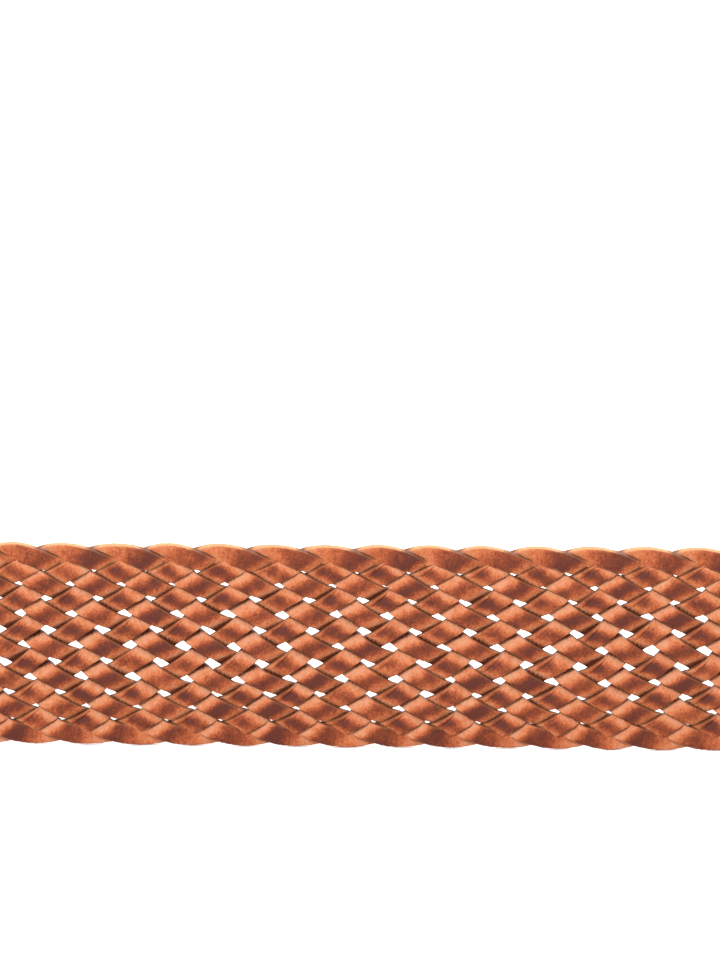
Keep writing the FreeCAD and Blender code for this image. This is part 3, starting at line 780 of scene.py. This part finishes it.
def calculate(tree, operation, first, second, third=None):
    """Arithmetic between nodes or numbers."""
    made = tree.nodes.new("ShaderNodeMath")
    made.operation = operation
    for number, value in enumerate((first, second, third)):
        if isinstance(value, bpy.types.NodeSocket):
            tree.links.new(value, made.inputs[number])
        elif value is not None:
            made.inputs[number].default_value = value
    return made.outputs["Value"]


def ramp(tree, factor, stops):
    """Colours blended along a factor."""
    made = tree.nodes.new("ShaderNodeValToRGB")
    tree.links.new(factor, made.inputs["Fac"])
    elements = made.color_ramp.elements
    while len(elements) < len(stops):
        elements.new(0.5)
    for element, (place, colour) in zip(elements, stops):
        element.position = place
        element.color = (*colour, 1.0)
    return made.outputs["Color"]


def mix(tree, factor, first, second):
    """Two colours blended by a factor."""
    made = tree.nodes.new("ShaderNodeMix")
    made.data_type = "RGBA"
    sockets = [made.inputs[0], made.inputs[6], made.inputs[7]]
    for socket, value in zip(sockets, (factor, first, second)):
        if isinstance(value, bpy.types.NodeSocket):
            tree.links.new(value, socket)
        elif isinstance(value, tuple):
            socket.default_value = (*value, 1.0)
        else:
            socket.default_value = value
    return made.outputs[2]


def attribute(tree, name):
    """A finish value that the mesh carries at its corners."""
    return add(tree, "ShaderNodeAttribute", {"attribute_name": name}).outputs["Fac"]


LIGHT_TAN = (0.385, 0.166, 0.090)
WARM_TAN = (0.362, 0.109, 0.042)
BROWN = (0.235, 0.053, 0.018)
RED_BROWN = (0.128, 0.026, 0.009)
DARK_BURNISH = (0.068, 0.015, 0.009)
RAW_EDGE = (0.62, 0.37, 0.20)
RAW_SHADE = (0.42, 0.18, 0.075)
# Painted shade: near-black brown laid into the crevices, creases and seams of the braid, where
# shade falls.
PAINTED_SHADE_BROWN = (0.062, 0.012, 0.004)


def braid_leather():
    """Hand-burnished strand leather: dark where each strand crowns over another, tan where
    it dives under, with raw cut edges and a napped back. Painted shade darkens it in the
    crevices and creases and along the seams where a strand dives under the next."""
    material, tree, shader = new_material("burnished_strand_leather")
    place = add(tree, "ShaderNodeTexCoord").outputs["Object"]
    along = add(tree, "ShaderNodeUVMap", {"uv_map": "strand"}).outputs["UV"]
    rubbed = attribute(tree, "burnish")
    raw = attribute(tree, "raw")
    painted_shade = attribute(tree, "painted_shade")
    shade = attribute(tree, "shade")
    cloud = add(tree, "ShaderNodeTexNoise", Vector=place, Scale=480.0, Detail=3.0,
                Roughness=0.55).outputs["Fac"]
    speck = add(tree, "ShaderNodeTexNoise", Vector=place, Scale=2300.0, Detail=4.0,
                Roughness=0.7).outputs["Fac"]
    stretched = add(tree, "ShaderNodeMapping", Vector=along)
    stretched.inputs["Scale"].default_value = (3.2, 2.0, 1.0)
    streak = add(tree, "ShaderNodeTexNoise", Vector=stretched.outputs["Vector"], Scale=1.0,
                 Detail=3.0, Roughness=0.7).outputs["Fac"]
    depth = calculate(tree, "MULTIPLY_ADD", shade, 0.24, 0.86)
    rubbed = calculate(tree, "POWER", rubbed, 1.25)
    tone = calculate(tree, "MULTIPLY_ADD", rubbed, depth, 0.07)
    tone = calculate(tree, "ADD", tone, calculate(tree, "MULTIPLY_ADD", cloud, 0.72, -0.36))
    tone = calculate(tree, "ADD", tone, calculate(tree, "MULTIPLY_ADD", speck, 0.90, -0.45))
    tone = calculate(tree, "ADD", tone, calculate(tree, "MULTIPLY_ADD", streak, 0.36, -0.18))
    grain_colour = ramp(tree, tone, [(0.0, LIGHT_TAN), (0.24, WARM_TAN), (0.50, BROWN),
                                     (0.74, RED_BROWN), (1.0, DARK_BURNISH)])
    raw_colour = ramp(tree, speck, [(0.35, RAW_EDGE), (0.65, RAW_SHADE)])
    frayed = calculate(tree, "MULTIPLY_ADD", speck, 3.4, -1.7)
    frayed = calculate(tree, "MULTIPLY_ADD", raw, frayed, raw)
    colour = mix(tree, frayed, grain_colour, raw_colour)
    # Painted shade: the colour is darkened to near-black brown in the crevices, along the creases
    # and where a strand dives under the next.
    colour = mix(tree, painted_shade, colour, PAINTED_SHADE_BROWN)
    tree.links.new(colour, shader.inputs["Base Color"])
    rough = calculate(tree, "MULTIPLY_ADD", raw, 0.35, 0.40)
    rough = calculate(tree, "MULTIPLY_ADD", speck, 0.16, rough)
    tree.links.new(rough, shader.inputs["Roughness"])
    shader.inputs["Specular IOR Level"].default_value = 0.11
    pores = add(tree, "ShaderNodeTexVoronoi", Vector=place, Scale=3600.0).outputs["Distance"]
    relief = calculate(tree, "MULTIPLY_ADD", pores, 0.5, speck)
    relief = calculate(tree, "MULTIPLY_ADD", cloud, 1.2, relief)
    relief = calculate(tree, "MULTIPLY_ADD", streak, 0.8, relief)
    bump = add(tree, "ShaderNodeBump", Strength=0.85, Distance=0.00014, Height=relief)
    tree.links.new(bump.outputs["Normal"], shader.inputs["Normal"])
    return material


def tab_leather():
    """Smooth pull-up leather: soft clouds of tan and red-brown, darker towards its edges."""
    material, tree, shader = new_material("tab_leather")
    place = add(tree, "ShaderNodeTexCoord").outputs["Object"]
    rim = attribute(tree, "rim")
    cloud = add(tree, "ShaderNodeTexNoise", Vector=place, Scale=70.0, Detail=4.0,
                Roughness=0.55, Distortion=0.6).outputs["Fac"]
    mottle = add(tree, "ShaderNodeTexNoise", Vector=place, Scale=520.0, Detail=4.0,
                 Roughness=0.6).outputs["Fac"]
    speck = add(tree, "ShaderNodeTexNoise", Vector=place, Scale=2300.0, Detail=3.0,
                Roughness=0.7).outputs["Fac"]
    tone = calculate(tree, "MULTIPLY_ADD", cloud, 0.9, -0.22)
    tone = calculate(tree, "MULTIPLY_ADD", mottle, 0.45, tone)
    tone = calculate(tree, "MULTIPLY_ADD", speck, 0.25, tone)
    tone = calculate(tree, "MULTIPLY_ADD", rim, 0.42, tone)
    colour = ramp(tree, tone, [(0.30, WARM_TAN), (0.55, BROWN), (0.82, RED_BROWN),
                               (1.0, DARK_BURNISH)])
    tree.links.new(colour, shader.inputs["Base Color"])
    rough = calculate(tree, "MULTIPLY_ADD", mottle, 0.18, 0.34)
    tree.links.new(rough, shader.inputs["Roughness"])
    shader.inputs["Specular IOR Level"].default_value = 0.3
    pores = add(tree, "ShaderNodeTexVoronoi", {"feature": "DISTANCE_TO_EDGE"}, Vector=place,
                Scale=1500.0).outputs["Distance"]
    relief = calculate(tree, "MULTIPLY_ADD", pores, 1.6, speck)
    relief = calculate(tree, "MULTIPLY_ADD", mottle, 0.8, relief)
    bump = add(tree, "ShaderNodeBump", Strength=0.45, Distance=0.00010, Height=relief)
    tree.links.new(bump.outputs["Normal"], shader.inputs["Normal"])
    return material


def flesh_leather():
    """The napped flesh side."""
    material, tree, shader = new_material("flesh_side")
    place = add(tree, "ShaderNodeTexCoord").outputs["Object"]
    nap = add(tree, "ShaderNodeTexNoise", Vector=place, Scale=1800.0, Detail=5.0,
              Roughness=0.75).outputs["Fac"]
    colour = ramp(tree, nap, [(0.35, RAW_SHADE), (0.65, RAW_EDGE)])
    tree.links.new(colour, shader.inputs["Base Color"])
    shader.inputs["Roughness"].default_value = 0.9
    shader.inputs["Specular IOR Level"].default_value = 0.1
    bump = add(tree, "ShaderNodeBump", Strength=0.7, Distance=0.00015, Height=nap)
    tree.links.new(bump.outputs["Normal"], shader.inputs["Normal"])
    return material


def painted_edge():
    """Burnished, dark-stained cut edges, with a trace of the layers along them."""
    material, tree, shader = new_material("painted_edge")
    place = add(tree, "ShaderNodeTexCoord").outputs["Object"]
    layers = add(tree, "ShaderNodeTexNoise", Vector=place, Scale=900.0, Detail=3.0).outputs["Fac"]
    colour = ramp(tree, layers, [(0.35, (0.052, 0.013, 0.007)), (0.7, (0.095, 0.024, 0.011))])
    tree.links.new(colour, shader.inputs["Base Color"])
    rough = calculate(tree, "MULTIPLY_ADD", layers, 0.2, 0.36)
    tree.links.new(rough, shader.inputs["Roughness"])
    shader.inputs["Specular IOR Level"].default_value = 0.2
    bump = add(tree, "ShaderNodeBump", Strength=0.3, Distance=0.00010, Height=layers)
    tree.links.new(bump.outputs["Normal"], shader.inputs["Normal"])
    return material


def brass():
    """Aged brass: warm, brushed fine, with tarnish in soft patches and small scratches."""
    material, tree, shader = new_material("aged_brass")
    place = add(tree, "ShaderNodeTexCoord").outputs["Object"]
    tarnish = add(tree, "ShaderNodeTexNoise", Vector=place, Scale=150.0, Detail=5.0,
                  Roughness=0.6, Distortion=0.4).outputs["Fac"]
    grain = add(tree, "ShaderNodeMapping", Vector=place)
    grain.inputs["Scale"].default_value = (2600.0, 2600.0, 180.0)
    brushed = add(tree, "ShaderNodeTexNoise", Vector=grain.outputs["Vector"], Scale=1.0,
                  Detail=2.0).outputs["Fac"]
    scratch = add(tree, "ShaderNodeTexNoise", Vector=place, Scale=1400.0, Detail=2.0,
                  Distortion=2.5).outputs["Fac"]
    tone = calculate(tree, "MULTIPLY_ADD", brushed, 0.18, tarnish)
    colour = ramp(tree, tone, [(0.40, (0.56, 0.37, 0.145)), (0.62, (0.43, 0.27, 0.10)),
                               (0.82, (0.24, 0.14, 0.05))])
    tree.links.new(colour, shader.inputs["Base Color"])
    shader.inputs["Metallic"].default_value = 1.0
    rough = calculate(tree, "MULTIPLY_ADD", tarnish, 0.22, 0.20)
    rough = calculate(tree, "MULTIPLY_ADD", brushed, 0.10, rough)
    tree.links.new(rough, shader.inputs["Roughness"])
    relief = calculate(tree, "MULTIPLY_ADD", scratch, 0.4, brushed)
    bump = add(tree, "ShaderNodeBump", Strength=0.15, Distance=0.00004, Height=relief)
    tree.links.new(bump.outputs["Normal"], shader.inputs["Normal"])
    return material


def bar_steel():
    """Plain turned steel, a little dull."""
    material, tree, shader = new_material("bar_steel")
    place = add(tree, "ShaderNodeTexCoord").outputs["Object"]
    turned = add(tree, "ShaderNodeMapping", Vector=place)
    turned.inputs["Scale"].default_value = (300.0, 300.0, 5000.0)
    lines = add(tree, "ShaderNodeTexNoise", Vector=turned.outputs["Vector"], Scale=1.0,
                Detail=2.0).outputs["Fac"]
    colour = ramp(tree, lines, [(0.35, (0.62, 0.61, 0.59)), (0.7, (0.42, 0.41, 0.40))])
    tree.links.new(colour, shader.inputs["Base Color"])
    shader.inputs["Metallic"].default_value = 1.0
    rough = calculate(tree, "MULTIPLY_ADD", lines, 0.25, 0.18)
    tree.links.new(rough, shader.inputs["Roughness"])
    bump = add(tree, "ShaderNodeBump", Strength=0.12, Distance=0.00004, Height=lines)
    tree.links.new(bump.outputs["Normal"], shader.inputs["Normal"])
    return material


def waxed_thread():
    """Pale waxed linen thread with its lay showing."""
    material, tree, shader = new_material("waxed_thread")
    place = add(tree, "ShaderNodeTexCoord").outputs["Object"]
    turned = add(tree, "ShaderNodeMapping", Vector=place)
    turned.inputs["Rotation"].default_value = (math.radians(38.0), 0.0, 0.0)
    lay = add(tree, "ShaderNodeTexWave", {"bands_direction": "Z"}, Vector=turned.outputs["Vector"],
              Scale=780.0, Distortion=0.6, Detail=1.0).outputs["Fac"]
    fuzz = add(tree, "ShaderNodeTexNoise", Vector=place, Scale=4200.0, Detail=2.0).outputs["Fac"]
    tone = calculate(tree, "MULTIPLY_ADD", fuzz, 0.5, lay)
    colour = ramp(tree, tone, [(0.25, (0.30, 0.135, 0.058)), (0.95, (0.58, 0.34, 0.17))])
    tree.links.new(colour, shader.inputs["Base Color"])
    shader.inputs["Roughness"].default_value = 0.55
    bump = add(tree, "ShaderNodeBump", Strength=0.6, Distance=0.00006, Height=tone)
    tree.links.new(bump.outputs["Normal"], shader.inputs["Normal"])
    return material


def floor_material():
    """A plain pale table top."""
    material, tree, shader = new_material("pale_floor")
    place = add(tree, "ShaderNodeTexCoord").outputs["Object"]
    soft = add(tree, "ShaderNodeTexNoise", Vector=place, Scale=3.0).outputs["Fac"]
    colour = ramp(tree, soft, [(0.0, (0.84, 0.82, 0.82)), (1.0, (0.86, 0.84, 0.84))])
    tree.links.new(colour, shader.inputs["Base Color"])
    shader.inputs["Roughness"].default_value = 0.6
    shader.inputs["Emission Color"].default_value = (1.0, 1.0, 1.0, 1.0)
    shader.inputs["Emission Strength"].default_value = 0.17
    return material


# ------------------------------------------------------------ floor and light

def make_floor():
    """A round table top just under the belt."""
    mesh = bmesh.new()
    bmesh.ops.create_circle(mesh, cap_ends=True, segments=96, radius=6.0)
    floor = finished_piece("floor", mesh, floor_material())
    floor.data.transform(Matrix.Translation((0.0, 0.0, -0.0002)))


def area_light(name, place, target, size, power):
    """A round soft lamp that points at target."""
    data = bpy.data.lights.new(name, "AREA")
    data.shape = "DISK"
    data.size = size
    data.energy = power
    lamp = bpy.data.objects.new(name, data)
    lamp.location = place
    lamp.rotation_mode = "QUATERNION"
    lamp.rotation_quaternion = (Vector(target) - Vector(place)).to_track_quat("-Z", "Y")
    bpy.context.scene.collection.objects.link(lamp)


def make_light():
    """Even white surroundings, with one soft lamp in front and one behind."""
    world = bpy.data.worlds.new("studio")
    bpy.context.scene.world = world
    world.use_nodes = True
    background = world.node_tree.nodes["Background"]
    background.inputs["Color"].default_value = (1.0, 1.0, 1.0, 1.0)
    background.inputs["Strength"].default_value = 1.0
    area_light("key", (-0.7, -2.2, 2.1), (0.0, 0.1, 0.0), 1.0, 125.0)
    area_light("back", (1.2, 2.2, 1.9), (0.0, 0.1, 0.0), 1.2, 110.0)
    bpy.context.scene.view_settings.view_transform = "Standard"


# --------------------------------------------------------------------- camera

PICTURE_HEIGHT = 960.0


def make_camera():
    """Close in front of the strap and a little above it, so that it runs out on both sides."""
    distance = 0.60
    rows_per_metre = 5140.0
    lens_rows = rows_per_metre * distance
    data = bpy.data.cameras.new("camera")
    data.sensor_width = 36.0
    data.lens = lens_rows / PICTURE_HEIGHT * data.sensor_width
    data.clip_start = 0.01
    data.clip_end = 50.0
    around = math.radians(2.0)
    above = math.radians(15.0)
    raised = math.atan(169.5 / lens_rows)
    target = Vector((1.7, -1.5, STRAP_WIDTH / 2.0)) * MM
    back = Vector((math.sin(around) * math.cos(above), -math.cos(around) * math.cos(above),
                   math.sin(above)))
    dip = above - raised
    ahead = Vector((-math.sin(around) * math.cos(dip), math.cos(around) * math.cos(dip),
                    -math.sin(dip)))
    camera = bpy.data.objects.new("camera", data)
    camera.location = target + back * distance
    camera.rotation_mode = "QUATERNION"
    camera.rotation_quaternion = ahead.to_track_quat("-Z", "Y")
    bpy.context.scene.collection.objects.link(camera)
    bpy.context.scene.camera = camera


# ---------------------------------------------------------------------- build

make_camera()
make_floor()
make_light()
STRAND_LEATHER = braid_leather()
for strand_number in range(STRANDS):
    strand_piece(strand_number, STRAND_LEATHER)

TAB_MATERIALS = [tab_leather(), flesh_leather(), painted_edge()]
chape_piece(TAB_MATERIALS)
tip_piece("tip_grain_layer", 1.0, TAB_MATERIALS)
tip_piece("tip_flesh_layer", -1.0, TAB_MATERIALS)
keeper_piece(TAB_MATERIALS)

THREAD = waxed_thread()
stitches_piece("chape_stitches", "strap", middle_mm("buckle_bar").x, THREAD)
stitches_piece("tip_stitches", "strap", LEG_X, THREAD)
stitches_piece("keeper_stitches", "keeper", middle_mm("buckle_bar").x, THREAD)

BRASS = brass()
METAL_PARTS = (("buckle_frame", BRASS), ("buckle_prong", BRASS), ("buckle_bar", bar_steel()))
for hardware, finish in METAL_PARTS:
    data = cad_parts[hardware].data
    data.materials.clear()
    data.materials.append(finish)
